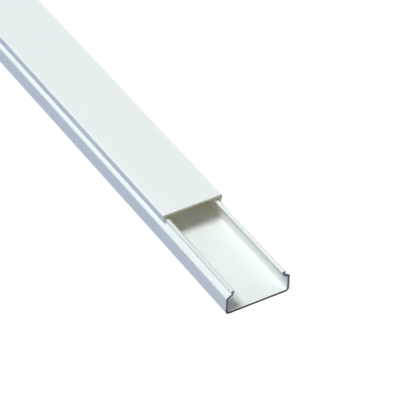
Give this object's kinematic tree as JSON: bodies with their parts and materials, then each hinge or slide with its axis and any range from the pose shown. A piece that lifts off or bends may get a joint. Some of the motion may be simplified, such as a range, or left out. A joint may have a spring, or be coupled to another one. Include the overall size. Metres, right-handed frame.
{
  "type": "cable trunking",
  "caption": "Plastic cable trunking: a shallow channel base with inturned clip lips and a flat clip-on lid, slid back to show the cable way.",
  "frame": {"origin": "centre of the flat back of the base, the face that goes against the wall", "axes": "+X along the length towards the open end, +Y across the width, +Z out from the wall through the lid"},
  "size_m": [1.067, 0.04, 0.0189],
  "materials": {
    "upvc": "satin as extruded"
  },
  "bodies": {
    "base": {"base": "upvc"},
    "lid": {"lid": "upvc"}
  },
  "joints": [
    {"name": "lid_slide", "type": "slide", "parent": "base", "child": "lid", "axis": [1, 0, 0], "range_m": [-0.833, 0.067]}
  ]
}
